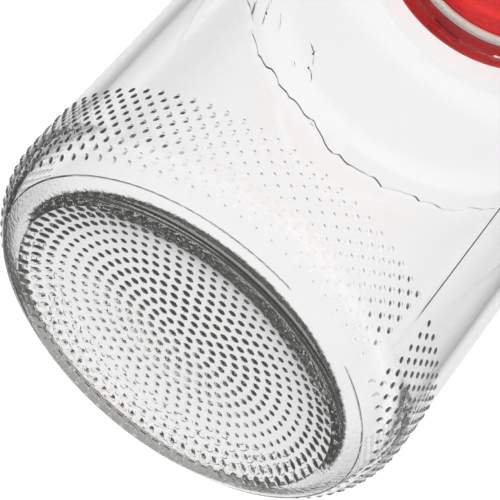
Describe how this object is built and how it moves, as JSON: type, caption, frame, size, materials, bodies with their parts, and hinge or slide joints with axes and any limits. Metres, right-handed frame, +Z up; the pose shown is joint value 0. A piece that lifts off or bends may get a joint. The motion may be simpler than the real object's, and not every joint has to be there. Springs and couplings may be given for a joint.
{
  "type": "storage jar",
  "caption": "Round clear glass storage jar with a stippled base and heel, a narrow neck and a red twist-off metal lid with a sealing ring.",
  "frame": {"origin": "on the jar's axis, in the plane of the bearing ring that it stands on", "axes": "+Z up along the axis towards the lid; the two mould seams of the glass lie at +X and -X"},
  "size_m": [0.11, 0.11, 0.1573],
  "materials": {
    "clear_glass": "clear colourless container glass with a moulded stipple",
    "red_lacquer": "glossy red lacquer on pressed tinplate",
    "sealing_compound": "soft satin cream sealing compound"
  },
  "bodies": {
    "jar": {"jar_body": "clear_glass"},
    "seal": {"sealing_ring": "sealing_compound"},
    "lid": {"lid_shell": "red_lacquer"}
  },
  "joints": [
    {"name": "lid_rise", "type": "slide", "parent": "jar", "child": "seal", "axis": [0, 0, 1], "range_m": [0, 0.0078]},
    {"name": "lid_turn", "type": "hinge", "parent": "seal", "child": "lid", "pos_m": [0, 0, 0.153], "axis": [0, 0, 1], "range_deg": [0, 270]}
  ],
  "couplings": [
    {"joint": "lid_rise", "follows": "lid_turn", "m_per_rad": 0.0016552}
  ]
}
